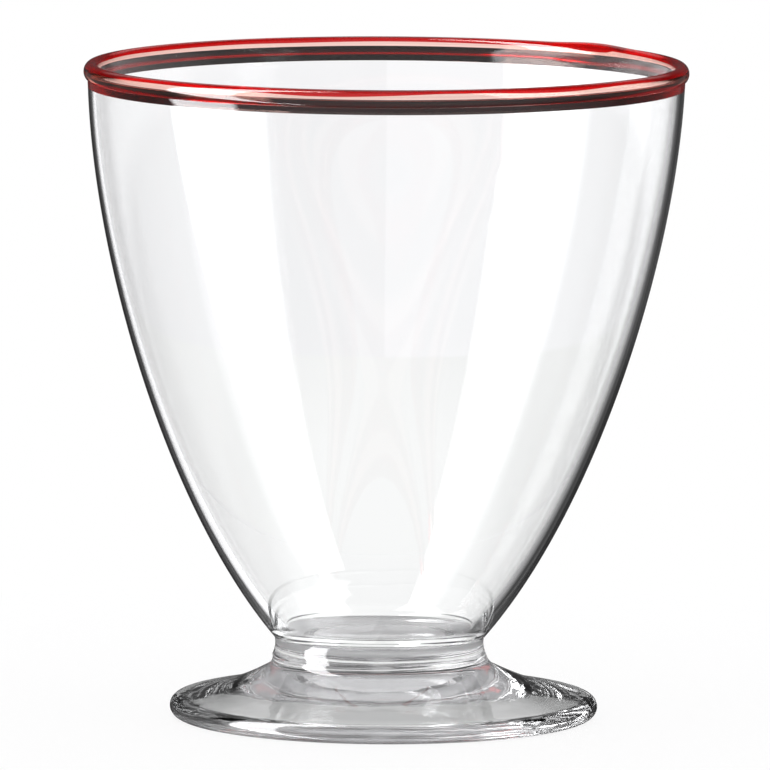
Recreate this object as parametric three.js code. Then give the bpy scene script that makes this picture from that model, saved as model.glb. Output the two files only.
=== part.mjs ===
// Footed dessert glass: a blown bowl on a short collar and a round foot,
// with a thread of ruby glass fused round its lip.
// Millimetres, +Z up. The glass stands on Z = 0 and its axis is Z.

import * as THREE from 'three';

const degree = Math.PI / 180;

// Foot: a pressed disc with a round edge, hollow below, standing on a narrow ground ring
const footRadius = 32.6;
const footHeight = 9.5;
const footEdgeThickness = 3.2;
const footEdgeSlope = 9 * degree;
const footEdgePull = 5.5;
const neckRadius = 16.3;
const neckFillet = 2.05;
const neckSlope = 27 * degree;
const neckPull = 5.9;
const groundRingWidth = 1.5;
const underHollowDepth = 5.5;
const underHollowPull = 17;

// Collar: the button of glass that joins the bowl to the foot, with a dish on top for the bowl's base
const collarHeight = 2.65;
const collarTopRadius = 15.95;
const collarWaistRadius = 15.9;
const dishDepth = 1.55;
const dishFloorRadius = 12.2;

// The neck stands beside the foot's axis, towards -X, and the bowl leans back until its lip is over the foot
const neckSet = 0.68;

// Bowl: its outside leans out at the lip and runs in to the collar
const bowlHeight = 84.15;
const bowlLipRadius = 45.31;
const bowlLipLean = 2.44 * degree;
const bowlLipPull = 26.8;
const bowlBaseLean = 40.6 * degree;
const bowlBasePull = 25.3;
const lipWall = 1.06;
const baseWall = 2.15;
const bowlFloorThickness = 1.3;
const bowlWellDepth = 2;
const bowlWellPull = 1.5;
const bowlFloorPull = 13;

// Lip thread: a band that swells a little outwards, with a bead on top. Inside, the bead runs down
// to the wall in one taper.
const threadBandHeight = 1.04;
const bandSwell = 0.06;
const beadWidth = 2.3;
const beadHeight = 2.8;

// The end of the thread laps over its start and leaves a swelling in the bead
const lapAngle = 134 * degree;
const lapSpan = 13 * degree;
const lapSwell = 0.24;

// Facets
const facetsAround = 72;
const bowlSteps = 12;
const floorSteps = 5;
const beadSteps = 14;
const bandSteps = 3;
const collarSteps = 4;
const filletSteps = 4;
const slopeSteps = 6;
const edgeSteps = 7;
const hollowSteps = 5;
const levelHalvings = 40;

// Levels of the joints
const collarFootLevel = footHeight;
const bowlBaseLevel = collarFootLevel + collarHeight;
const dishLevel = bowlBaseLevel - dishDepth;
const threadLevel = bowlBaseLevel + bowlHeight;

const clearGlass = new THREE.MeshStandardMaterial({
  color: 0xe9eeee,
  roughness: 0.03,
  metalness: 0,
  transparent: true,
  opacity: 0.35,
});

const rubyGlass = new THREE.MeshStandardMaterial({
  color: 0xa3121f,
  roughness: 0.04,
  metalness: 0,
  transparent: true,
  opacity: 0.75,
});

// A point of an outline: distance from the axis, height
const point = (radius, height) => new THREE.Vector2(radius, height);

// A cubic curve that leaves one end and reaches the other along given directions
function pulledCurve(start, startPull, end, endPull) {
  return new THREE.CubicBezierCurve(start, start.clone().add(startPull), end.clone().add(endPull), end);
}

// A step of some length at an angle from the way out, so that a right angle is up
function step(length, angle) {
  return point(length * Math.cos(angle), length * Math.sin(angle));
}

// Points on an ellipse from one angle to another, both ends included
function ellipsePoints(centre, halfWidth, halfHeight, from, to, steps) {
  const points = [];
  for (let i = 0; i <= steps; i += 1) {
    const angle = from + ((to - from) * i) / steps;
    points.push(point(centre.x + halfWidth * Math.cos(angle), centre.y + halfHeight * Math.sin(angle)));
  }
  return points;
}

// How far towards +X the glass is off the foot's axis at a height
function offAxis(height) {
  const risen = Math.min(1, height / footHeight);
  const leaned = Math.min(1, Math.max(0, height - bowlBaseLevel) / bowlHeight);
  return neckSet * (leaned - risen ** 3);
}

// Turns an outline about the axis, with the outline's height as Z
function turn(outline) {
  return new THREE.LatheGeometry(outline, facetsAround).rotateX(Math.PI / 2);
}

// Moves each height of a turned piece off the axis
function setOffAxis(geometry) {
  const position = geometry.getAttribute('position');
  for (let i = 0; i < position.count; i += 1) {
    position.setX(i, position.getX(i) + offAxis(position.getZ(i)));
  }
  return geometry;
}

function makeMesh(name, geometry, material) {
  const mesh = new THREE.Mesh(geometry, material);
  mesh.name = name;
  return mesh;
}

function makeFoot() {
  const edgeRadius = footEdgeThickness / 2;
  const edgeCentre = point(footRadius - edgeRadius, edgeRadius);
  const filletCentre = point(neckRadius + neckFillet, footHeight);
  const fillet = ellipsePoints(
    filletCentre, neckFillet, neckFillet, Math.PI, 1.5 * Math.PI - neckSlope, filletSteps,
  );
  const edge = ellipsePoints(
    edgeCentre, edgeRadius, edgeRadius, Math.PI / 2 - footEdgeSlope, -Math.PI / 2, edgeSteps,
  );
  const slope = pulledCurve(
    fillet[fillet.length - 1],
    step(neckPull, -neckSlope),
    edge[0],
    step(footEdgePull, Math.PI - footEdgeSlope),
  );
  const ringInside = point(edgeCentre.x - groundRingWidth, 0);
  const hollowBend = point(underHollowPull, underHollowDepth);
  const hollow = new THREE.QuadraticBezierCurve(ringInside, hollowBend, point(0, underHollowDepth));
  const outline = [
    point(0, footHeight),
    ...fillet,
    ...slope.getPoints(slopeSteps).slice(1, -1),
    ...edge,
    ...hollow.getPoints(hollowSteps),
  ];
  return makeMesh('foot', setOffAxis(turn(outline.reverse())), clearGlass);
}

function makeCollar() {
  const bottom = point(neckRadius, collarFootLevel);
  const top = point(collarTopRadius, bowlBaseLevel);
  // A quadratic curve passes halfway between its control point and the middle of its ends
  const waist = point(2 * collarWaistRadius - (bottom.x + top.x) / 2, (bottom.y + top.y) / 2);
  const side = new THREE.QuadraticBezierCurve(bottom, waist, top);
  const outline = [
    point(0, bottom.y),
    ...side.getPoints(collarSteps),
    point(dishFloorRadius, dishLevel),
    point(0, dishLevel),
  ];
  return makeMesh('stem_collar', setOffAxis(turn(outline)), clearGlass);
}

// The outside of the bowl, from the lip down to the collar
function bowlOutside() {
  const lip = point(bowlLipRadius, threadLevel);
  const base = point(collarTopRadius, bowlBaseLevel);
  return pulledCurve(
    lip,
    step(bowlLipPull, 1.5 * Math.PI - bowlLipLean),
    base,
    step(bowlBasePull, Math.PI / 2 - bowlBaseLean),
  );
}

// A point on the inside of the wall, which thickens from the lip down
function bowlInside(outside, along) {
  const tangent = outside.getTangent(along);
  const wall = lipWall + (baseWall - lipWall) * along * along;
  const inward = point(tangent.y, -tangent.x);
  return outside.getPoint(along).add(inward.multiplyScalar(wall));
}

// How far along the outside the inside of the wall has come down to a level
function alongAtLevel(outside, level) {
  let above = 0;
  let below = 1;
  for (let i = 0; i < levelHalvings; i += 1) {
    const middle = (above + below) / 2;
    if (bowlInside(outside, middle).y > level) {
      above = middle;
    } else {
      below = middle;
    }
  }
  return above;
}

// The hollow of the bowl, from the lip down the wall and, with a round corner, into a shallow well
function bowlHollowPoints(outside) {
  const floorLevel = dishLevel + bowlFloorThickness;
  const wallEnd = alongAtLevel(outside, floorLevel + bowlWellDepth);
  const points = [point(bowlLipRadius - lipWall, threadLevel)];
  for (let i = 1; i <= bowlSteps; i += 1) {
    points.push(bowlInside(outside, (wallEnd * i) / bowlSteps));
  }
  const floor = pulledCurve(
    points[points.length - 1],
    point(0, -bowlWellPull),
    point(0, floorLevel),
    point(bowlFloorPull, 0),
  );
  points.push(...floor.getPoints(floorSteps).slice(1));
  return points;
}

function makeBowl() {
  const outside = bowlOutside();
  const outline = [
    point(0, dishLevel),
    point(dishFloorRadius, dishLevel),
    ...outside.getPoints(bowlSteps).reverse(),
    ...bowlHollowPoints(outside),
  ];
  return makeMesh('bowl', setOffAxis(turn(outline)), clearGlass);
}

function makeLipThread() {
  const bandRise = threadBandHeight * Math.tan(bowlLipLean);
  const bandTop = threadLevel + threadBandHeight;
  const beadRadius = bowlLipRadius + bandRise - lipWall / 2;
  // The angle, from level, at which the bead runs into the outside of the band
  const seatAngle = Math.acos(lipWall / beadWidth);
  const beadLevel = bandTop + (beadHeight / 2) * Math.sin(seatAngle);
  const beadCentre = point(beadRadius, beadLevel);
  const outerFoot = point(bowlLipRadius, threadLevel);
  const innerFoot = point(bowlLipRadius - lipWall, threadLevel);
  const bead = ellipsePoints(
    beadCentre, beadWidth / 2, beadHeight / 2, -seatAngle, taperAngle(beadCentre, innerFoot), beadSteps,
  );
  const bandMiddle = outerFoot.clone().add(bead[0]).multiplyScalar(0.5);
  const bandBend = bandMiddle.add(point(2 * bandSwell, 0));
  const band = new THREE.QuadraticBezierCurve(outerFoot, bandBend, bead[0]);
  const outline = [...band.getPoints(bandSteps).slice(0, -1), ...bead, innerFoot, outerFoot];
  const geometry = turn(outline);
  swellLap(geometry, beadRadius, beadLevel, bandTop);
  return makeMesh('lip_thread', setOffAxis(geometry), rubyGlass);
}

// The angle, from the way out, at which a line from below touches the inner side of the bead
function taperAngle(beadCentre, from) {
  const across = (from.x - beadCentre.x) / (beadWidth / 2);
  const down = (from.y - beadCentre.y) / (beadHeight / 2);
  const towards = Math.atan2(down, across) + 2 * Math.PI;
  return towards - Math.acos(1 / Math.hypot(across, down));
}

// Swells the bead about its own middle where the thread laps over itself
function swellLap(geometry, beadRadius, beadLevel, bandTop) {
  const position = geometry.getAttribute('position');
  const lapMiddle = point(Math.sin(lapAngle), -Math.cos(lapAngle));
  for (let i = 0; i < position.count; i += 1) {
    const outward = point(position.getX(i), position.getY(i));
    const radius = outward.length();
    const height = position.getZ(i);
    const away = Math.acos(Math.min(1, outward.normalize().dot(lapMiddle))) / lapSpan;
    if (height <= bandTop || away >= 1) {
      continue;
    }
    const swell = 1 + lapSwell * Math.cos((away * Math.PI) / 2) ** 2;
    const swollen = outward.multiplyScalar(beadRadius + (radius - beadRadius) * swell);
    position.setXYZ(i, swollen.x, swollen.y, beadLevel + (height - beadLevel) * swell);
  }
}

const dessertGlass = new THREE.Group();
dessertGlass.add(makeFoot(), makeCollar(), makeBowl(), makeLipThread());

export default dessertGlass;
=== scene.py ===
"""Footed dessert glass with a ruby thread round its lip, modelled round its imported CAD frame."""

import math

import bmesh
import bpy
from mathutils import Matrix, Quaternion, Vector, noise as wander


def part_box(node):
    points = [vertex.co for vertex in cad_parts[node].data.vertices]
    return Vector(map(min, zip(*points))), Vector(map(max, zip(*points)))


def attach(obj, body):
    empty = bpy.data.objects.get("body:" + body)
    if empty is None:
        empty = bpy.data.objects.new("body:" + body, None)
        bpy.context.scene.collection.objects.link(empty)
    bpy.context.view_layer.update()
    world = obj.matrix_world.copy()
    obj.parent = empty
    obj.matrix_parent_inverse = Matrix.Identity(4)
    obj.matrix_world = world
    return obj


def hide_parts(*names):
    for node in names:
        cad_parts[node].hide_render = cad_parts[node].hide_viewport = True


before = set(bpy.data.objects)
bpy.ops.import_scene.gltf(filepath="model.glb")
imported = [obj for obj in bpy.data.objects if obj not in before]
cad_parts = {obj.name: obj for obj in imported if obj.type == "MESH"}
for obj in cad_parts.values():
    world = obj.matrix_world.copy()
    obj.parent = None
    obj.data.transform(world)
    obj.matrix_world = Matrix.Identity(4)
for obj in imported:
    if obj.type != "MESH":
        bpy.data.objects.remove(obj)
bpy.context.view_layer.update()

bl_info = {
    "name": "Footed Dessert Glass",
    "version": (1, 0, 0),
    "blender": (4, 5, 0),
    "location": "3D View > Sidebar > Dessert Glass",
    "description": "Models a blown dessert glass with a ruby lip thread on a white studio table",
    "category": "Add Mesh",
}

MM = 0.001
BODY = "root"
FOOT_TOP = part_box("foot")[1].z
BOWL_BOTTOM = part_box("bowl")[0].z
BOWL_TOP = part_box("bowl")[1].z

# Steps of the outlines and of the turn about the axis
TURN_STEPS = 192
BEAD_STEPS = 44
BAND_STEPS = 8
TAPER_STEPS = 6
WALL_STEPS = 56
FLOOR_STEPS = 16
COLLAR_STEPS = 12
FILLET_STEPS = 12
SLOPE_STEPS = 24
EDGE_STEPS = 24
HOLLOW_STEPS = 16
TABLE_STEPS = 128
LEVEL_HALVINGS = 40

SMOOTH_ANGLE = math.radians(38)
MERGE_DISTANCE = 1e-6
SEAM_GAP = 0.02 * MM

# The upward part of a face's normal from which the face counts as flat
FLAT_NORMAL = 0.5

# How the lower edge of the ruby core wavers: its waves round the lip, and its shares of the drop
CORE_WAVES = 2.3
CORE_WAVER = 0.9
CORE_USUAL = 0.5
CORE_LEAST = 0.05

# Refractive indices, the haze of the fused joints, and the ruby glass
GLASS_INDEX = 1.51
THREAD_INDEX = 1.52
CORE_INDEX = 1.0
JOINT_HAZE = 0.12
SLOPE_HAZE = 0.55
RUBY_CLEARNESS = 0.72
BLUSH_HEIGHT = 0.1 * MM

# Light, where 1 is white
EVEN_LIGHT = 1.05
MIRRORED_WINDOW = 14.0
INNER_WINDOW = 6.0
FRONT_ROOM = 0.7
DIM_WALL = 0.12
DARK_WALL = 0.05
LEFT_WALL = 1.6
RIGHT_WALL = 1.0
CEILING = 0.9

# The painted shadow under the foot, which shows only through the glass: its two radii and its light
SHADOW_CORE = 24 * MM
SHADOW_END = 40 * MM
SHADOW_LIGHT = 0.5

# Bounces of light that the glass needs
THROUGH_BOUNCES = 32
MIRROR_BOUNCES = 16

# Millimetres, as the lens is given
SENSOR_WIDTH = 36.0


def length(name, description, millimetres):
    """A length that a user can change, given in millimetres."""
    return bpy.props.FloatProperty(
        name=name,
        description=description,
        default=millimetres * MM,
        min=0.0,
        precision=5,
        unit="LENGTH",
    )


def angle(name, description, degrees):
    """An angle that a user can change, given in degrees."""
    return bpy.props.FloatProperty(
        name=name,
        description=description,
        default=math.radians(degrees),
        subtype="ANGLE",
    )


def degrees(value):
    """An angle given in degrees."""
    return math.radians(value)


class DessertGlassBowl(bpy.types.PropertyGroup):
    """Sizes of the blown bowl."""

    bottom_level: length("Bottom level", "Height of the bowl's underside above the table", BOWL_BOTTOM / MM)
    top_level: length("Top level", "Height at which the wall ends and the thread begins", BOWL_TOP / MM)
    dish_depth: length("Dish depth", "How deep the bowl's underside sits in the collar", 1.55)
    dish_radius: length("Dish radius", "Radius of the level part of the underside", 12.2)
    base_radius: length("Base radius", "Outer radius where the wall meets the collar", 15.95)
    lip_radius: length("Lip radius", "Outer radius at the top of the clear wall", 45.31)
    lip_lean: angle("Lip lean", "How far the wall leans out from upright at the lip", 2.44)
    lip_pull: length("Lip pull", "How far the wall keeps its lean below the lip", 26.8)
    base_lean: angle("Base lean", "How far the wall leans out from upright at the base", 40.6)
    base_pull: length("Base pull", "How far the wall keeps its lean above the base", 25.3)
    lip_wall: length("Lip wall", "Thickness of the wall at the lip", 1.06)
    base_wall: length("Base wall", "Thickness of the wall at the base", 2.15)
    floor_thickness: length("Floor thickness", "Thickness of the floor of the bowl at its middle", 1.3)
    well_depth: length("Well depth", "Depth of the well in the floor below the end of the wall", 2.0)
    well_pull: length("Well pull", "How far the side of the well runs straight down", 1.5)
    floor_pull: length("Floor pull", "How far the floor stays level from its middle", 13.0)


class DessertGlassThread(bpy.types.PropertyGroup):
    """Sizes of the ruby thread on the lip."""

    band_height: length("Band height", "Height of the ruby wall under the bead", 1.04)
    band_swell: length("Band swell", "How far the band swells out at its middle", 0.01)
    bead_width: length("Bead width", "Thickness of the bead across the lip", 2.3)
    bead_height: length("Bead height", "Height of the bead", 2.8)
    core_cover: length("Core cover", "Thickness of the clear glass over the ruby core", 0.03)
    core_level: length("Core level", "Greatest height of the core's edge above the bead's middle", 0.88)
    core_drop: length("Core drop", "How much lower the core's edge hangs where it is thickest", 0.5)
    lap_angle: angle("Lap angle", "Where the thread's end laps over its start, from the front", 134)
    lap_span: angle("Lap span", "How far the swelling of the lap runs to each side", 13)
    lap_swell: bpy.props.FloatProperty(
        name="Lap swell", description="How much the bead swells at the lap", default=0.24, subtype="FACTOR"
    )


class DessertGlassCollar(bpy.types.PropertyGroup):
    """Sizes of the collar between bowl and foot."""

    bottom_radius: length("Bottom radius", "Radius where the collar meets the foot", 16.3)
    top_radius: length("Top radius", "Radius where the collar meets the bowl", 15.95)
    waist_radius: length("Waist radius", "Radius halfway up", 15.9)


class DessertGlassFoot(bpy.types.PropertyGroup):
    """Sizes of the round foot."""

    radius: length("Radius", "Outer radius of the foot", 32.6)
    height: length("Height", "Height of the foot's neck above the table", FOOT_TOP / MM)
    edge_thickness: length("Edge thickness", "Thickness of the round edge", 3.2)
    edge_slope: angle("Edge slope", "Fall of the upper face at the edge", 9.0)
    edge_pull: length("Edge pull", "How far the upper face keeps its fall at the edge", 5.5)
    neck_radius: length("Neck radius", "Radius of the neck under the collar", 16.3)
    neck_fillet: length("Neck fillet", "Radius of the hollow round the neck", 2.05)
    neck_slope: angle("Neck slope", "Fall of the upper face at the neck", 27.0)
    neck_pull: length("Neck pull", "How far the upper face keeps its fall at the neck", 5.9)
    neck_set: length("Neck set", "How far the neck stands to the left of the foot's axis", 0.68)
    ring_width: length("Ground ring width", "Width of the ring that stands on the table", 1.5)
    hollow_depth: length("Hollow depth", "Depth of the hollow under the foot", 5.5)
    hollow_pull: length("Hollow pull", "How far the hollow stays level from its middle", 17.0)


class DessertGlassStage(bpy.types.PropertyGroup):
    """Camera, table and the card behind the table."""

    camera_distance: length("Camera distance", "Distance of the camera in front of the glass", 2000.0)
    camera_height: length("Camera height", "Height of the camera above the table", 282.9)
    aim_height: length("Aim height", "Height above the table at which the camera aims", 50.75)
    camera_roll: angle("Camera roll", "How far the camera is turned about its view", 0.27)
    lens: bpy.props.FloatProperty(
        name="Lens", description="Focal length on a 36 mm sensor, in millimetres", default=618.68
    )
    table_radius: length("Table radius", "Radius of the white table", 150.0)
    card_height: length("Card height", "Height of the white card behind the table", 36.0)


# Outlines: points with the distance from the axis as X and the height as Z


def outline_point(radius, height):
    """A point of an outline."""
    return Vector((radius, 0.0, height))


def outline_step(distance, direction):
    """A step of some length at an angle from the way out, so that a right angle is up."""
    return outline_point(distance * math.cos(direction), distance * math.sin(direction))


def pulled_curve(start, start_pull, end, end_pull):
    """The four control points of a cubic curve that leaves its ends along the given pulls."""
    return (start, start + start_pull, end + end_pull, end)


def curve_point(curve, along):
    """The point some share of the way along a cubic curve."""
    back = 1.0 - along
    a, b, c, d = curve
    return a * back**3 + b * (3 * back**2 * along) + c * (3 * back * along**2) + d * along**3


def curve_tangent(curve, along):
    """The direction in which a cubic curve runs there."""
    back = 1.0 - along
    a, b, c, d = curve
    run = (b - a) * back**2 + (c - b) * (2 * back * along) + (d - c) * along**2
    return run.normalized()


def curve_points(curve, steps):
    """Evenly stepped points of a cubic curve, both ends included."""
    return [curve_point(curve, i / steps) for i in range(steps + 1)]


def ellipse_points(centre, half_width, half_height, first, last, steps):
    """Points on an ellipse from one angle to another, both ends included."""
    points = []
    for i in range(steps + 1):
        turned = first + (last - first) * i / steps
        points.append(
            centre + outline_point(half_width * math.cos(turned), half_height * math.sin(turned))
        )
    return points


def quadratic_points(start, control, end, steps):
    """Points of a curve with one control point, both ends included."""
    raised = (start, start.lerp(control, 2 / 3), end.lerp(control, 2 / 3), end)
    return curve_points(raised, steps)


def bowl_base_level(bowl):
    """The height at which the outside of the wall meets the collar."""
    return bowl.bottom_level + bowl.dish_depth


def bowl_outside(bowl):
    """The outside of the wall, from the lip down to the collar."""
    lip = outline_point(bowl.lip_radius, bowl.top_level)
    base = outline_point(bowl.base_radius, bowl_base_level(bowl))
    return pulled_curve(
        lip,
        outline_step(bowl.lip_pull, 1.5 * math.pi - bowl.lip_lean),
        base,
        outline_step(bowl.base_pull, 0.5 * math.pi - bowl.base_lean),
    )


def bowl_inside_point(bowl, outside, along):
    """A point on the inside of the wall, which thickens from the lip down."""
    tangent = curve_tangent(outside, along)
    wall = bowl.lip_wall + (bowl.base_wall - bowl.lip_wall) * along**2
    return curve_point(outside, along) + outline_point(tangent.z, -tangent.x) * wall


def along_at_level(bowl, outside, level):
    """How far along the outside the inside of the wall has come down to a level."""
    above = 0.0
    below = 1.0
    for _ in range(LEVEL_HALVINGS):
        middle = (above + below) / 2
        if bowl_inside_point(bowl, outside, middle).z > level:
            above = middle
        else:
            below = middle
    return above


def bowl_outline(bowl):
    """The bowl's section, from the middle of its underside round the lip to the middle of its floor."""
    outside = bowl_outside(bowl)
    floor_level = bowl.bottom_level + bowl.floor_thickness
    wall_end = along_at_level(bowl, outside, floor_level + bowl.well_depth)
    inside = [outline_point(bowl.lip_radius - bowl.lip_wall, bowl.top_level)]
    inside += [
        bowl_inside_point(bowl, outside, wall_end * i / WALL_STEPS) for i in range(1, WALL_STEPS + 1)
    ]
    floor = pulled_curve(
        inside[-1],
        outline_point(0.0, -bowl.well_pull),
        outline_point(0.0, floor_level),
        outline_point(bowl.floor_pull, 0.0),
    )
    return (
        [outline_point(0.0, bowl.bottom_level), outline_point(bowl.dish_radius, bowl.bottom_level)]
        + curve_points(outside, WALL_STEPS)[::-1]
        + inside
        + curve_points(floor, FLOOR_STEPS)[1:]
    )


def collar_outline(collar, foot, bowl):
    """The collar's section, from the middle of its underside to the middle of the dish on its top."""
    bottom = outline_point(collar.bottom_radius, foot.height)
    top = outline_point(collar.top_radius, bowl_base_level(bowl))
    middle = (bottom + top) / 2
    control = outline_point(2 * collar.waist_radius - middle.x, middle.z)
    side = quadratic_points(bottom, control, top, COLLAR_STEPS)
    dish = [outline_point(bowl.dish_radius, bowl.bottom_level), outline_point(0.0, bowl.bottom_level)]
    return [outline_point(0.0, foot.height)] + side + dish


def foot_outline(foot):
    """The foot's section, from the middle of its top round the edge to the middle of the hollow below."""
    edge_radius = foot.edge_thickness / 2
    edge_centre = outline_point(foot.radius - edge_radius, edge_radius)
    fillet = ellipse_points(
        outline_point(foot.neck_radius + foot.neck_fillet, foot.height),
        foot.neck_fillet,
        foot.neck_fillet,
        math.pi,
        1.5 * math.pi - foot.neck_slope,
        FILLET_STEPS,
    )
    edge = ellipse_points(
        edge_centre,
        edge_radius,
        edge_radius,
        0.5 * math.pi - foot.edge_slope,
        -0.5 * math.pi,
        EDGE_STEPS,
    )
    slope = pulled_curve(
        fillet[-1],
        outline_step(foot.neck_pull, -foot.neck_slope),
        edge[0],
        outline_step(foot.edge_pull, math.pi - foot.edge_slope),
    )
    hollow = quadratic_points(
        outline_point(edge_centre.x - foot.ring_width, 0.0),
        outline_point(foot.hollow_pull, foot.hollow_depth),
        outline_point(0.0, foot.hollow_depth),
        HOLLOW_STEPS,
    )
    upper = [outline_point(0.0, foot.height)] + fillet + curve_points(slope, SLOPE_STEPS)[1:-1]
    return upper + edge + hollow


def taper_angle(thread, centre, start):
    """The angle, from the way out, at which a line from below touches the inner side of the bead."""
    across = (start.x - centre.x) / (thread.bead_width / 2)
    down = (start.z - centre.z) / (thread.bead_height / 2)
    towards = math.atan2(down, across) + math.tau
    return towards - math.acos(1 / math.hypot(across, down))


def thread_outline(thread, bowl):
    """The thread's closed section and the middle of its bead."""
    rise = thread.band_height * math.tan(bowl.lip_lean)
    band_top = bowl.top_level + thread.band_height
    seat = math.acos(bowl.lip_wall / thread.bead_width)
    centre = outline_point(
        bowl.lip_radius + rise - bowl.lip_wall / 2, band_top + thread.bead_height / 2 * math.sin(seat)
    )
    outer_foot = outline_point(bowl.lip_radius, bowl.top_level + SEAM_GAP)
    inner_foot = outline_point(bowl.lip_radius - bowl.lip_wall, bowl.top_level + SEAM_GAP)
    last = taper_angle(thread, centre, inner_foot)
    bead = ellipse_points(centre, thread.bead_width / 2, thread.bead_height / 2, -seat, last, BEAD_STEPS)
    bend = (outer_foot + bead[0]) / 2 + outline_point(2 * thread.band_swell, 0.0)
    band = quadratic_points(outer_foot, bend, bead[0], BAND_STEPS)
    taper = [bead[-1].lerp(inner_foot, i / TAPER_STEPS) for i in range(1, TAPER_STEPS + 1)]
    return band[:-1] + bead + taper + [outer_foot], centre


def lap_direction(thread):
    """The way out from the axis to the middle of the lap."""
    return Vector((math.sin(thread.lap_angle), -math.cos(thread.lap_angle), 0.0))


def core_outline(thread, centre):
    """The section of the ruby core: the cap of the bead above a level chord."""
    half_width = thread.bead_width / 2 - thread.core_cover
    half_height = thread.bead_height / 2 - thread.core_cover
    start = math.asin(thread.core_level / half_height)
    cap = ellipse_points(centre, half_width, half_height, start, math.pi - start, BEAD_STEPS)
    chord = [cap[-1].lerp(cap[0], i / TAPER_STEPS) for i in range(1, TAPER_STEPS + 1)]
    return cap + chord


# Modelling


def draw_outline(name, points):
    """Starts a piece from a small plane drawn in to one vertex, and extrudes its outline point by point."""
    bpy.ops.object.select_all(action="DESELECT")
    bpy.ops.mesh.primitive_plane_add(size=MM)
    piece = bpy.context.object
    piece.name = name
    piece.data.name = name
    bpy.ops.object.mode_set(mode="EDIT")
    bpy.ops.mesh.select_mode(type="VERT")
    bpy.ops.mesh.select_all(action="SELECT")
    bpy.ops.mesh.merge(type="CENTER")
    bpy.ops.transform.translate(value=points[0])
    for before, after in zip(points, points[1:]):
        bpy.ops.mesh.extrude_vertices_move(TRANSFORM_OT_translate={"value": after - before})
    return piece


def turn_outline():
    """Spins the drawn outline once about the axis and closes its seam and poles."""
    bpy.ops.mesh.select_all(action="SELECT")
    bpy.ops.mesh.spin(steps=TURN_STEPS, angle=math.tau, center=(0, 0, 0), axis=(0, 0, 1))
    bpy.ops.mesh.select_all(action="SELECT")
    bpy.ops.mesh.remove_doubles(threshold=MERGE_DISTANCE)
    bpy.ops.mesh.select_all(action="SELECT")
    bpy.ops.mesh.normals_make_consistent(inside=False)


def select_vertices(piece, wanted):
    """Selects the vertices that a test picks, and nothing else."""
    bpy.ops.mesh.select_mode(type="VERT")
    bpy.ops.mesh.select_all(action="DESELECT")
    shape = bmesh.from_edit_mesh(piece.data)
    for vertex in shape.verts:
        vertex.select_set(wanted(vertex.co))
    shape.select_flush_mode()
    bmesh.update_edit_mesh(piece.data)


def fuse_joint(piece, low, high, name, haze):
    """Gives the flat faces between two heights the finish of a fused joint, which light crosses unbent."""
    if name not in piece.data.materials:
        piece.data.materials.append(fused_joint_finish(name, haze))
    piece.active_material_index = piece.data.materials.find(name)
    bpy.ops.mesh.select_mode(type="FACE")
    bpy.ops.mesh.select_all(action="DESELECT")
    shape = bmesh.from_edit_mesh(piece.data)
    for face in shape.faces:
        level = face.calc_center_median().z
        flat = abs(face.normal.z) > FLAT_NORMAL
        face.select_set(flat and low - SEAM_GAP < level < high + SEAM_GAP)
    bmesh.update_edit_mesh(piece.data)
    bpy.ops.object.material_slot_assign()


def fuse_dish(piece, bowl):
    """Fuses the bowl's base into the collar's dish: nearly clear in the middle, hazier on the slope."""
    middle = bowl.bottom_level
    fuse_joint(piece, middle, middle, "fused_joint", JOINT_HAZE)
    fuse_joint(piece, middle + 2 * SEAM_GAP, bowl_base_level(bowl), "hazy_joint", SLOPE_HAZE)


def off_axis_share(level, foot, bowl):
    """How much of the neck's set a height takes: none on the table, all at the neck, none at the lip."""
    risen = min(1.0, level / foot.height)
    base_level = bowl_base_level(bowl)
    leaned = (level - base_level) / (bowl.top_level - base_level)
    return risen**3 - min(1.0, max(0.0, leaned))


def displace(piece, direction, distance, share):
    """Moves the vertices of a piece along an axis, each by its own share of a distance."""
    bpy.ops.object.mode_set(mode="OBJECT")
    group = piece.vertex_groups.new(name="shares")
    for vertex in piece.data.vertices:
        group.add([vertex.index], share(vertex.co), "REPLACE")
    modifier = piece.modifiers.new("displace", "DISPLACE")
    modifier.direction = direction
    modifier.mid_level = 0.0
    modifier.strength = distance
    modifier.vertex_group = group.name
    bpy.ops.object.modifier_apply(modifier=modifier.name)
    piece.vertex_groups.clear()


def set_off_axis(piece):
    """Moves each height of a turned piece to the left, as far as it is set off the foot's axis."""
    foot = bpy.context.scene.dessert_glass_foot
    bowl = bpy.context.scene.dessert_glass_bowl
    displace(piece, "X", -foot.neck_set, lambda place: off_axis_share(place.z, foot, bowl))


def finish_piece(piece, node):
    """Sets a piece off the axis, smooths it and lets it stand for its CAD node."""
    set_off_axis(piece)
    bpy.ops.object.shade_smooth_by_angle(angle=SMOOTH_ANGLE)
    if not piece.data.polygons:
        raise RuntimeError(f"{piece.name} has no faces")
    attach(piece, BODY)
    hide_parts(node)


# Finishes


def new_finish(name):
    """A new node material with only its output."""
    material = bpy.data.materials.new(name)
    material.use_nodes = True
    tree = material.node_tree
    tree.nodes.clear()
    output = tree.nodes.new("ShaderNodeOutputMaterial")
    return material, tree, output


def noise(tree, scale, detail, stretch=(1.0, 1.0, 1.0)):
    """A noise over the piece's own coordinates, stretched by a mapping."""
    coordinates = tree.nodes.new("ShaderNodeTexCoord")
    mapping = tree.nodes.new("ShaderNodeMapping")
    mapping.inputs["Scale"].default_value = stretch
    texture = tree.nodes.new("ShaderNodeTexNoise")
    texture.inputs["Scale"].default_value = scale
    texture.inputs["Detail"].default_value = detail
    tree.links.new(coordinates.outputs["Object"], mapping.inputs["Vector"])
    tree.links.new(mapping.outputs["Vector"], texture.inputs["Vector"])
    return texture.outputs["Fac"]


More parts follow.
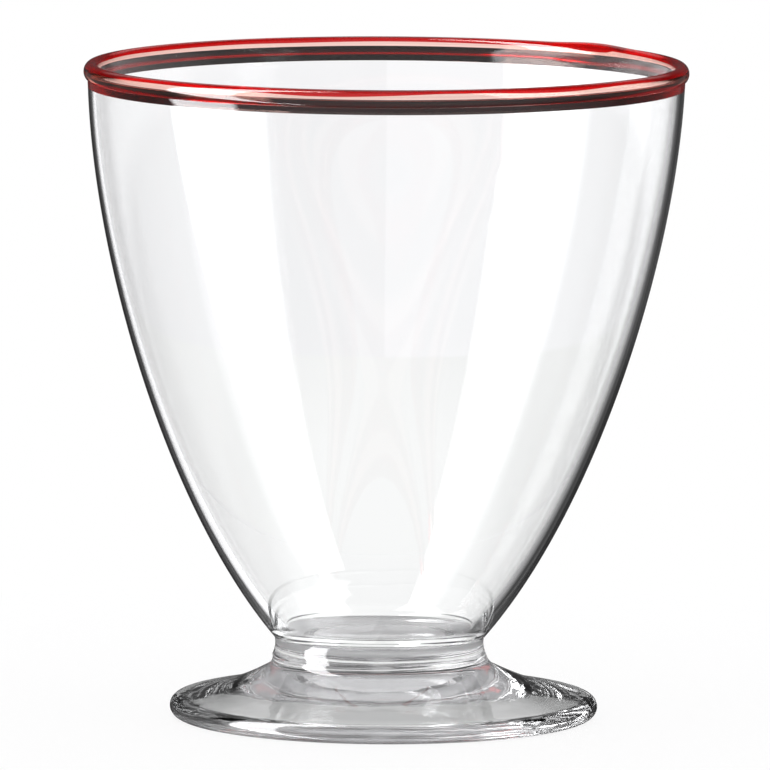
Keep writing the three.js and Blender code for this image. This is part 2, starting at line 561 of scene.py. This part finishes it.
def ranged(tree, value, low, high, first, last):
    """A value mapped from one range to another."""
    node = tree.nodes.new("ShaderNodeMapRange")
    node.inputs["From Min"].default_value = low
    node.inputs["From Max"].default_value = high
    node.inputs["To Min"].default_value = first
    node.inputs["To Max"].default_value = last
    tree.links.new(value, node.inputs["Value"])
    return node.outputs["Result"]


def calculate(tree, operation, first, second=0.0):
    """The result of a calculation on sockets or numbers."""
    node = tree.nodes.new("ShaderNodeMath")
    node.operation = operation
    for socket, value in zip(node.inputs, (first, second)):
        if isinstance(value, (int, float)):
            socket.default_value = value
        else:
            tree.links.new(value, socket)
    return node.outputs["Value"]


def between(tree, share, first, second):
    """A value some share of the way from the first to the second."""
    node = tree.nodes.new("ShaderNodeMix")
    node.data_type = "FLOAT"
    for name, value in (("Factor", share), ("A", first), ("B", second)):
        socket = node.inputs[name]
        if isinstance(value, (int, float)):
            socket.default_value = value
        else:
            tree.links.new(value, socket)
    return node.outputs["Result"]


def within(tree, value, low, high, soft):
    """One between two values and nothing outside, with soft edges."""
    rise = ranged(tree, value, low - soft, low, 0.0, 1.0)
    fall = ranged(tree, value, high, high + soft, 1.0, 0.0)
    return calculate(tree, "MULTIPLY", rise, fall)


def ripple(tree, height, depth):
    """A bump of some depth from a height."""
    bump = tree.nodes.new("ShaderNodeBump")
    bump.inputs["Strength"].default_value = 1.0
    bump.inputs["Distance"].default_value = depth
    tree.links.new(height, bump.inputs["Height"])
    return bump.outputs["Normal"]


def glass_shader(tree, colour, index):
    """A clear shader with the given tint and refractive index."""
    shader = tree.nodes.new("ShaderNodeBsdfPrincipled")
    shader.inputs["Base Color"].default_value = (*colour, 1.0)
    shader.inputs["IOR"].default_value = index
    shader.inputs["Roughness"].default_value = 0.0
    shader.inputs["Transmission Weight"].default_value = 1.0
    return shader


def blown_glass_finish():
    """Clear blown glass: bright and smooth, with long faint waves in the wall."""
    material, tree, output = new_finish("blown_clear_glass")
    shader = glass_shader(tree, (0.99, 0.995, 0.993), GLASS_INDEX)
    drawn = noise(tree, scale=38.0, detail=1.0, stretch=(1.0, 1.0, 0.35))
    waves = ripple(tree, drawn, depth=0.05 * MM)
    tree.links.new(waves, shader.inputs["Normal"])
    haze = ranged(tree, noise(tree, scale=90.0, detail=3.0), 0.35, 0.75, 0.0, 0.012)
    tree.links.new(haze, shader.inputs["Roughness"])
    tree.links.new(shader.outputs["BSDF"], output.inputs["Surface"])
    return material


def pressed_glass_finish():
    """Clear pressed glass: thick, with chill waves in its faces."""
    material, tree, output = new_finish("pressed_clear_glass")
    shader = glass_shader(tree, (0.985, 0.993, 0.99), GLASS_INDEX)
    waves = ripple(tree, noise(tree, scale=110.0, detail=2.0), depth=0.16 * MM)
    tree.links.new(waves, shader.inputs["Normal"])
    haze = ranged(tree, noise(tree, scale=160.0, detail=3.0), 0.35, 0.75, 0.0, 0.016)
    tree.links.new(haze, shader.inputs["Roughness"])
    tree.links.new(shader.outputs["BSDF"], output.inputs["Surface"])
    return material


def ruby_glass_finish(thread, centre):
    """The thread's pale red glass, with a blush of ruby on its crest."""
    material, tree, output = new_finish("ruby_glass")
    shader = glass_shader(tree, (1.0, 1.0, 1.0), THREAD_INDEX)
    waves = ripple(tree, noise(tree, scale=120.0, detail=1.0), depth=0.03 * MM)
    tree.links.new(waves, shader.inputs["Normal"])
    coordinates = tree.nodes.new("ShaderNodeTexCoord")
    split = tree.nodes.new("ShaderNodeSeparateXYZ")
    tree.links.new(coordinates.outputs["Object"], split.inputs["Vector"])
    crest = centre.z + thread.core_level
    share = ranged(tree, split.outputs["Z"], crest, crest + BLUSH_HEIGHT, 0.0, 1.0)
    ramp = tree.nodes.new("ShaderNodeValToRGB")
    ramp.color_ramp.elements[0].color = (1.0, 0.99, 0.985, 1.0)
    ramp.color_ramp.elements[1].color = (0.9, 0.4, 0.4, 1.0)
    tree.links.new(share, ramp.inputs["Fac"])
    tree.links.new(ramp.outputs["Color"], shader.inputs["Base Color"])
    tree.links.new(shader.outputs["BSDF"], output.inputs["Surface"])
    absorb(tree, output, (0.97, 0.265, 0.06), 230.0)
    return material


def ruby_core_finish():
    """The ruby glass in the bead's crest, a little milky. Only the thread's glass round it bends light."""
    material, tree, output = new_finish("ruby_core")
    shader = glass_shader(tree, (0.9, 0.02, 0.025), CORE_INDEX)
    shader.inputs["Transmission Weight"].default_value = RUBY_CLEARNESS
    tree.links.new(shader.outputs["BSDF"], output.inputs["Surface"])
    absorb(tree, output, (0.92, 0.0, 0.05), 2400.0)
    return material


def absorb(tree, output, colour, density):
    """Fills a closed piece with glass that takes up the other colours of the light that crosses it."""
    body = tree.nodes.new("ShaderNodeVolumeAbsorption")
    body.inputs["Color"].default_value = (*colour, 1.0)
    body.inputs["Density"].default_value = density
    tree.links.new(body.outputs["Volume"], output.inputs["Volume"])


def fused_joint_finish(name, haze):
    """The inside of a fused joint: one glass runs into the other, with a little haze where they met."""
    known = bpy.data.materials.get(name)
    if known:
        return known
    material, tree, output = new_finish(name)
    shader = tree.nodes.new("ShaderNodeBsdfPrincipled")
    shader.inputs["Base Color"].default_value = (0.95, 0.95, 0.96, 1.0)
    shader.inputs["Roughness"].default_value = 1.0
    shader.inputs["Specular IOR Level"].default_value = 0.0
    shader.inputs["Alpha"].default_value = haze
    tree.links.new(shader.outputs["BSDF"], output.inputs["Surface"])
    return material


def table_finish():
    """White table top with a faint shadow, and a painted shadow under the foot that shows only through the
    glass. Light that has bounced inside the glass passes through it.
    """
    material, tree, output = new_finish("white_table")
    matt = tree.nodes.new("ShaderNodeBsdfDiffuse")
    matt.inputs["Color"].default_value = (0.98, 0.98, 0.98, 1.0)
    white = tree.nodes.new("ShaderNodeEmission")
    clear = tree.nodes.new("ShaderNodeBsdfTransparent")
    path = tree.nodes.new("ShaderNodeLightPath")
    through = path.outputs["Is Transmission Ray"]
    coordinates = tree.nodes.new("ShaderNodeTexCoord")
    away = tree.nodes.new("ShaderNodeVectorMath")
    away.operation = "LENGTH"
    tree.links.new(coordinates.outputs["Object"], away.inputs[0])
    # Painted shadow: for rays straight through the glass, the table's white is dimmed under the foot,
    # darkest at its middle
    shade = ranged(tree, away.outputs["Value"], SHADOW_CORE, SHADOW_END, SHADOW_LIGHT, 1.0)
    tree.links.new(between(tree, through, 1.0, shade), white.inputs["Strength"])
    seen = calculate(tree, "MAXIMUM", path.outputs["Is Camera Ray"], through)
    seen = calculate(tree, "MAXIMUM", seen, path.outputs["Is Glossy Ray"])
    bent = calculate(tree, "GREATER_THAN", path.outputs["Glossy Depth"], 0.5)
    top = mixed_shader(tree, ranged(tree, seen, 0.0, 1.0, 0.0, 0.85), matt, white)
    top = mixed_shader(tree, calculate(tree, "MULTIPLY", through, bent), top, clear)
    tree.links.new(top.outputs["Shader"], output.inputs["Surface"])
    return material


def card_finish():
    """White card for light that comes straight through the glass, and clear for the rest."""
    material, tree, output = new_finish("white_card")
    white = tree.nodes.new("ShaderNodeEmission")
    clear = tree.nodes.new("ShaderNodeBsdfTransparent")
    path = tree.nodes.new("ShaderNodeLightPath")
    bent = calculate(tree, "GREATER_THAN", path.outputs["Glossy Depth"], 0.5)
    card = mixed_shader(tree, bent, white, clear)
    tree.links.new(card.outputs["Shader"], output.inputs["Surface"])
    return material


def mixed_shader(tree, share, first, second):
    """A shader some share of the way from the first to the second."""
    node = tree.nodes.new("ShaderNodeMixShader")
    tree.links.new(share, node.inputs["Fac"])
    tree.links.new(first.outputs[0], node.inputs[1])
    tree.links.new(second.outputs[0], node.inputs[2])
    return node


# Light of the room by direction, as it shows in the glass


class Way:
    """The way a ray goes, as sockets."""

    def __init__(self, tree):
        coordinates = tree.nodes.new("ShaderNodeTexCoord")
        split = tree.nodes.new("ShaderNodeSeparateXYZ")
        tree.links.new(coordinates.outputs["Generated"], split.inputs["Vector"])
        across = split.outputs["X"]
        self.back = split.outputs["Y"]
        ahead = calculate(tree, "MULTIPLY", self.back, -1.0)
        # Angle above the horizon, angle round from the front, and angle to either side of straight behind
        self.raised = calculate(tree, "ARCSINE", split.outputs["Z"])
        self.front = calculate(tree, "ARCTAN2", across, ahead)
        self.aside = calculate(tree, "ABSOLUTE", calculate(tree, "ARCTAN2", across, self.back))
        self.rightward = calculate(tree, "GREATER_THAN", across, 0.0)
        self.over_horizon = ranged(tree, self.raised, degrees(-0.5), degrees(2), 0.0, 1.0)
        self.window_height = within(tree, self.raised, degrees(-66), degrees(76), degrees(6))


def wall_light(tree, way):
    """Walls behind the glass: bright at the sides, dark in the middle, and a pale slit straight behind."""
    slit = ranged(tree, way.aside, degrees(2), degrees(5), 0.5, DARK_WALL)
    left = ranged(tree, way.aside, degrees(16), degrees(21), DARK_WALL, LEFT_WALL)
    right = ranged(tree, way.aside, degrees(20), degrees(35), DARK_WALL, RIGHT_WALL)
    walls = between(tree, way.rightward, left, right)
    return calculate(tree, "MAXIMUM", slit, walls)


def mirrored_light(tree, way, walls):
    """What the glass mirrors: a pale room in front, dim walls behind, and a tall window on the left."""
    backdrop = ranged(tree, way.raised, degrees(18), degrees(26), 0.06, 0.7)
    middle = ranged(tree, way.aside, degrees(15), degrees(35), 1.0, 0.1)
    backdrop = calculate(tree, "MULTIPLY", backdrop, middle)
    dim = calculate(tree, "MINIMUM", walls, DIM_WALL)
    behind = between(tree, way.over_horizon, dim, backdrop)
    room = between(tree, ranged(tree, way.back, -0.5, 0.2, 0.0, 1.0), FRONT_ROOM, behind)
    # The left edge of the window leans in towards its foot
    slant = ranged(tree, way.raised, degrees(-60), degrees(-8), degrees(24), 0.0)
    leaned = calculate(tree, "SUBTRACT", way.front, slant)
    left = ranged(tree, leaned, degrees(-93), degrees(-90), 0.0, 1.0)
    right = ranged(tree, way.front, degrees(-62), degrees(-59), 1.0, 0.0)
    pane = calculate(tree, "MULTIPLY", left, right)
    pane = calculate(tree, "MULTIPLY", pane, way.window_height)
    return between(tree, pane, room, MIRRORED_WINDOW)


def straight_light(tree, way):
    """What shows straight through the glass: white low down, a dark room over it, and a pale ceiling."""
    white = ranged(tree, way.raised, degrees(-4.4), degrees(-3.2), 1.0, 0.012)
    left = ranged(tree, way.aside, degrees(9), degrees(20), 1.0, 1.3)
    brighter = between(tree, way.rightward, left, 1.05)
    far = ranged(tree, way.raised, degrees(-12), degrees(-10), 0.0, 1.0)
    brighter = between(tree, far, 0.95, brighter)
    white = calculate(tree, "MULTIPLY", white, brighter)
    ceiling = ranged(tree, way.raised, degrees(44), degrees(54), 0.0, CEILING)
    return calculate(tree, "MAXIMUM", white, ceiling)


def bounced_light(tree, way, walls, once):
    """What shows after a bounce inside the glass: the walls, a dark room over them, window and ceiling."""
    # Over the horizon it is white just above it in the middle, and dim at the sides after one bounce
    middle = ranged(tree, way.aside, degrees(16), degrees(30), 1.0, 0.0)
    low = ranged(tree, way.raised, degrees(1), degrees(4), 1.0, 0.0)
    middle = calculate(tree, "MULTIPLY", middle, low)
    sides = ranged(tree, way.aside, degrees(44), degrees(52), 0.0, 0.28)
    lower = ranged(tree, way.raised, degrees(17), degrees(22), 1.0, 0.0)
    sides = calculate(tree, "MULTIPLY", sides, lower)
    sides = calculate(tree, "MULTIPLY", sides, once)
    lit = calculate(tree, "MAXIMUM", middle, sides)
    lit = calculate(tree, "MAXIMUM", lit, 0.04)
    # After more than one bounce the walls are dark far out
    inner = ranged(tree, way.aside, degrees(42), degrees(56), 1.0, 0.1)
    inner = calculate(tree, "MAXIMUM", inner, once)
    inner = calculate(tree, "MULTIPLY", walls, inner)
    behind = between(tree, way.over_horizon, inner, lit)
    pane = within(tree, way.front, degrees(-92), degrees(-50), degrees(3))
    pane = calculate(tree, "MULTIPLY", pane, way.window_height)
    room = ranged(tree, way.raised, degrees(-3), degrees(1), FRONT_ROOM, 0.08)
    facing = between(tree, pane, room, INNER_WINDOW)
    bounced = between(tree, ranged(tree, way.back, -0.15, 0.05, 0.0, 1.0), facing, behind)
    ceiling = ranged(tree, way.raised, degrees(26), degrees(38), 0.0, CEILING)
    return calculate(tree, "MAXIMUM", bounced, ceiling)


# Operators


class DESSERTGLASS_OT_bowl(bpy.types.Operator):
    """Model the blown bowl"""

    bl_idname = "dessert_glass.bowl"
    bl_label = "Make Bowl"

    def execute(self, context):
        bowl = context.scene.dessert_glass_bowl
        piece = draw_outline("blown_bowl", bowl_outline(bowl))
        turn_outline()
        piece.data.materials.append(blown_glass_finish())
        fuse_dish(piece, bowl)
        finish_piece(piece, "bowl")
        return {"FINISHED"}


class DESSERTGLASS_OT_thread(bpy.types.Operator):
    """Model the ruby thread on the lip, with the lap where it ends"""

    bl_idname = "dessert_glass.thread"
    bl_label = "Make Lip Thread"

    def execute(self, context):
        bowl = context.scene.dessert_glass_bowl
        thread = context.scene.dessert_glass_thread
        outline, centre = thread_outline(thread, bowl)
        core = draw_outline("ruby_core", core_outline(thread, centre))
        turn_outline()
        self.drop_core(core, thread, centre)
        self.swell_lap(core, thread, centre, bowl.top_level)
        bpy.ops.object.mode_set(mode="OBJECT")
        core.data.materials.append(ruby_core_finish())
        piece = draw_outline("ruby_thread", outline)
        turn_outline()
        self.swell_lap(piece, thread, centre, bowl.top_level + thread.band_height)
        bpy.ops.object.mode_set(mode="OBJECT")
        piece.data.materials.append(ruby_glass_finish(thread, centre))
        core.select_set(True)
        bpy.ops.object.join()
        finish_piece(piece, "lip_thread")
        return {"FINISHED"}

    def drop_core(self, core, thread, centre):
        """Lets the lower edge of the core hang lower here and there, and most at the lap."""
        edge = centre.z + thread.core_level + SEAM_GAP
        lap = lap_direction(thread)

        def share(place):
            if place.z > edge:
                return 0.0
            outward = Vector((place.x, place.y, 0.0)).normalized()
            near_lap = max(0.0, 1.0 - outward.angle(lap) / thread.lap_span * 2)
            waver = CORE_USUAL + CORE_WAVER * wander.noise(outward * CORE_WAVES)
            return min(1.0, max(CORE_LEAST, waver + 2 * near_lap))

        displace(core, "Z", -thread.core_drop, share)
        bpy.ops.object.mode_set(mode="EDIT")

    def swell_lap(self, piece, thread, centre, band_top):
        """Swells the bead's sections about their own middle near the lap."""
        spacing = math.tau / TURN_STEPS
        lap = lap_direction(thread)
        for i in range(TURN_STEPS):
            turned = i * spacing
            outward = Vector((math.cos(turned), math.sin(turned), 0.0))
            away = outward.angle(lap) / thread.lap_span
            if away >= 1.0:
                continue
            swell = 1.0 + thread.lap_swell * math.cos(away * math.pi / 2) ** 2

            def in_section(place):
                level = Vector((place.x, place.y, 0.0))
                return place.z > band_top and level.angle(outward) < spacing / 2

            select_vertices(piece, in_section)
            middle = outward * centre.x + Vector((0.0, 0.0, centre.z))
            bpy.ops.transform.resize(value=(swell, swell, swell), center_override=middle)


class DESSERTGLASS_OT_collar(bpy.types.Operator):
    """Model the collar between bowl and foot"""

    bl_idname = "dessert_glass.collar"
    bl_label = "Make Collar"

    def execute(self, context):
        bowl = context.scene.dessert_glass_bowl
        foot = context.scene.dessert_glass_foot
        collar = context.scene.dessert_glass_collar
        piece = draw_outline("glass_collar", collar_outline(collar, foot, bowl))
        turn_outline()
        piece.data.materials.append(pressed_glass_finish())
        fuse_joint(piece, foot.height, foot.height, "fused_joint", JOINT_HAZE)
        fuse_dish(piece, bowl)
        finish_piece(piece, "stem_collar")
        return {"FINISHED"}


class DESSERTGLASS_OT_foot(bpy.types.Operator):
    """Model the round foot"""

    bl_idname = "dessert_glass.foot"
    bl_label = "Make Foot"

    def execute(self, context):
        foot = context.scene.dessert_glass_foot
        piece = draw_outline("round_foot", foot_outline(foot))
        turn_outline()
        piece.data.materials.append(pressed_glass_finish())
        fuse_joint(piece, foot.height, foot.height, "fused_joint", JOINT_HAZE)
        finish_piece(piece, "foot")
        return {"FINISHED"}


class DESSERTGLASS_OT_stage(bpy.types.Operator):
    """Set up the table, the card behind it, the light and the camera"""

    bl_idname = "dessert_glass.stage"
    bl_label = "Make Stage"

    def execute(self, context):
        stage = context.scene.dessert_glass_stage
        self.add_table(stage)
        self.add_card(stage)
        self.light_world(context.scene)
        self.add_camera(context.scene, stage)
        context.scene.view_settings.view_transform = "Standard"
        context.scene.cycles.max_bounces = THROUGH_BOUNCES
        context.scene.cycles.transmission_bounces = THROUGH_BOUNCES
        context.scene.cycles.glossy_bounces = MIRROR_BOUNCES
        context.scene.cycles.transparent_max_bounces = THROUGH_BOUNCES
        return {"FINISHED"}

    def add_table(self, stage):
        """A round white table top just under the foot."""
        bpy.ops.object.select_all(action="DESELECT")
        bpy.ops.mesh.primitive_circle_add(
            vertices=TABLE_STEPS, radius=stage.table_radius, fill_type="NGON", location=(0, 0, -SEAM_GAP)
        )
        table = bpy.context.object
        table.name = "white_table"
        table.data.materials.append(table_finish())
        table.visible_glossy = False

    def add_card(self, stage):
        """A low white card behind the table, which shows only through the glass."""
        bpy.ops.object.select_all(action="DESELECT")
        middle = (0, stage.table_radius, stage.card_height / 2)
        bpy.ops.mesh.primitive_plane_add(size=1.0, location=middle)
        card = bpy.context.object
        card.name = "white_card"
        bpy.ops.transform.resize(value=(2 * stage.table_radius, stage.card_height, 1.0))
        bpy.ops.transform.rotate(value=math.pi / 2, orient_axis="X", center_override=middle)
        card.data.materials.append(card_finish())
        card.visible_camera = False
        card.visible_diffuse = False
        card.visible_glossy = False
        card.visible_shadow = False

    def light_world(self, scene):
        """White for the camera, even light for the table, and a room with a window for the glass."""
        world = bpy.data.worlds.new("studio")
        scene.world = world
        world.use_nodes = True
        tree = world.node_tree
        tree.nodes.clear()
        output = tree.nodes.new("ShaderNodeOutputWorld")
        background = tree.nodes.new("ShaderNodeBackground")
        path = tree.nodes.new("ShaderNodeLightPath")
        way = Way(tree)
        walls = wall_light(tree, way)
        once = calculate(tree, "LESS_THAN", path.outputs["Glossy Depth"], 1.5)
        bent = calculate(tree, "GREATER_THAN", path.outputs["Glossy Depth"], 0.5)
        mirrored = mirrored_light(tree, way, walls)
        bounced = bounced_light(tree, way, walls, once)
        through = between(tree, bent, straight_light(tree, way), bounced)
        seen = between(tree, path.outputs["Is Glossy Ray"], EVEN_LIGHT, mirrored)
        seen = between(tree, path.outputs["Is Transmission Ray"], seen, through)
        on_table = calculate(tree, "GREATER_THAN", path.outputs["Diffuse Depth"], 0.5)
        seen = between(tree, on_table, seen, EVEN_LIGHT)
        tree.links.new(seen, background.inputs["Strength"])
        background.inputs["Color"].default_value = (0.99, 0.985, 1.0, 1.0)
        white = tree.nodes.new("ShaderNodeBackground")
        white.inputs["Color"].default_value = (1.0, 1.0, 1.0, 1.0)
        both = mixed_shader(tree, path.outputs["Is Camera Ray"], background, white)
        tree.links.new(both.outputs["Shader"], output.inputs["Surface"])

    def add_camera(self, scene, stage):
        """A camera that sees the glass as the photograph does."""
        place = Vector((0.0, -stage.camera_distance, stage.camera_height))
        aim = Vector((0.0, 0.0, stage.aim_height))
        turned = (aim - place).to_track_quat("-Z", "Y") @ Quaternion((0.0, 0.0, 1.0), stage.camera_roll)
        bpy.ops.object.camera_add(location=place)
        camera = bpy.context.object
        camera.name = "photo_camera"
        camera.rotation_euler = turned.to_euler()
        camera.data.lens = stage.lens
        camera.data.sensor_width = SENSOR_WIDTH
        camera.data.clip_start = 0.01
        camera.data.clip_end = 100.0
        scene.camera = camera


class DESSERTGLASS_PT_panel(bpy.types.Panel):
    """The pieces of the dessert glass"""

    bl_idname = "DESSERTGLASS_PT_panel"
    bl_label = "Dessert Glass"
    bl_space_type = "VIEW_3D"
    bl_region_type = "UI"
    bl_category = "Dessert Glass"

    def draw(self, context):
        layout = self.layout
        for operator in OPERATORS:
            layout.operator(operator.bl_idname)
        for name in GROUPS:
            box = layout.box()
            group = getattr(context.scene, name)
            for value in group.__annotations__:
                box.prop(group, value)


GROUPS = {
    "dessert_glass_bowl": DessertGlassBowl,
    "dessert_glass_thread": DessertGlassThread,
    "dessert_glass_collar": DessertGlassCollar,
    "dessert_glass_foot": DessertGlassFoot,
    "dessert_glass_stage": DessertGlassStage,
}

OPERATORS = (
    DESSERTGLASS_OT_bowl,
    DESSERTGLASS_OT_thread,
    DESSERTGLASS_OT_collar,
    DESSERTGLASS_OT_foot,
    DESSERTGLASS_OT_stage,
)


def register():
    """Registers the property groups, the operators and the panel."""
    for name, group in GROUPS.items():
        bpy.utils.register_class(group)
        setattr(bpy.types.Scene, name, bpy.props.PointerProperty(type=group))
    for operator in OPERATORS:
        bpy.utils.register_class(operator)
    bpy.utils.register_class(DESSERTGLASS_PT_panel)


def unregister():
    """Takes them out again."""
    bpy.utils.unregister_class(DESSERTGLASS_PT_panel)
    for operator in OPERATORS:
        bpy.utils.unregister_class(operator)
    for name, group in GROUPS.items():
        delattr(bpy.types.Scene, name)
        bpy.utils.unregister_class(group)


def main():
    """Makes the glass and its stage."""
    register()
    bpy.ops.dessert_glass.bowl()
    bpy.ops.dessert_glass.thread()
    bpy.ops.dessert_glass.collar()
    bpy.ops.dessert_glass.foot()
    bpy.ops.dessert_glass.stage()


if __name__ == "__main__":
    main()
